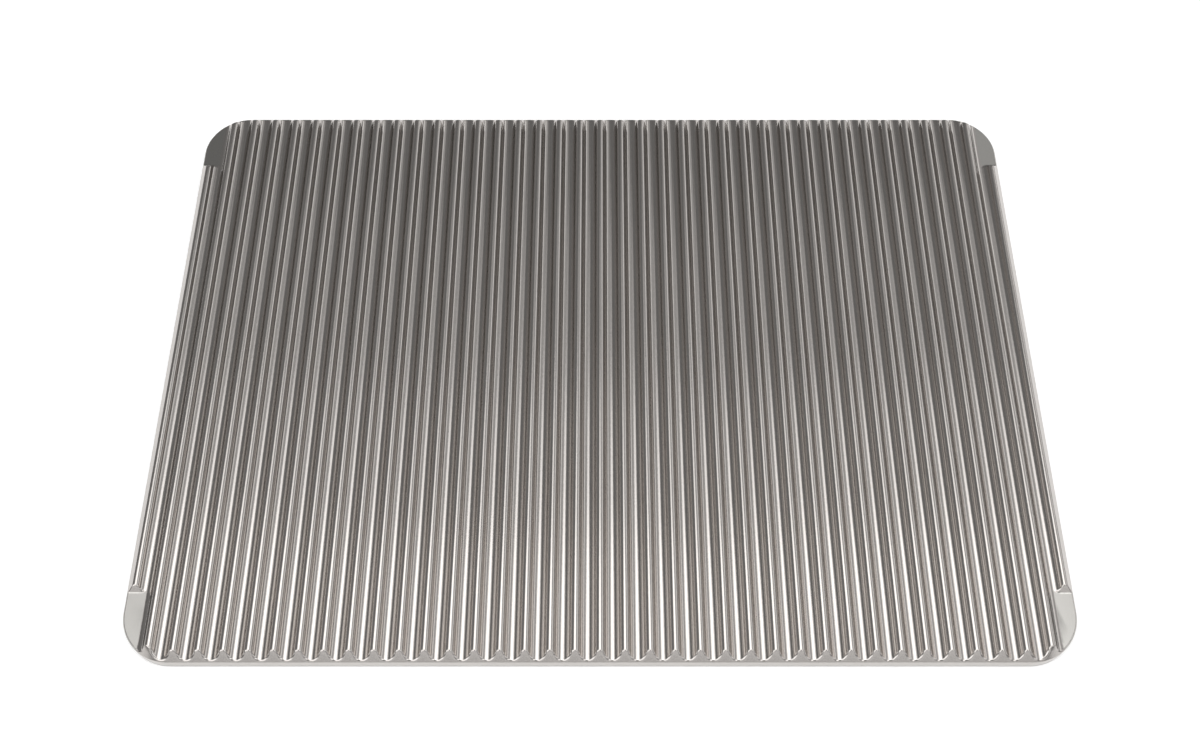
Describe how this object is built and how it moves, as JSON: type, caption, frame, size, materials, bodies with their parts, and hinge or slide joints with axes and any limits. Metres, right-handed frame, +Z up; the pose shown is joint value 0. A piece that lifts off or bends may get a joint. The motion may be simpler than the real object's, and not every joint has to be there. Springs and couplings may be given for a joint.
{
  "type": "ribbed baking plate",
  "caption": "Flat rectangular aluminium baking and grilling plate with rounded corners, a bevelled rim, fluted ribs running front to back and a flat pad in each corner.",
  "frame": {"origin": "centre of the flat underside, on the surface the plate rests on", "axes": "+Z up out of the ribbed side, +X along the 460 mm side and across the ribs, +Y along the ribs towards the back"},
  "size_m": [0.46, 0.33, 0.0112],
  "materials": {
    "bare_aluminium": "satin, fine grain, semi-gloss"
  },
  "bodies": {
    "root": {"ribbed_plate": "bare_aluminium"}
  },
  "joints": []
}
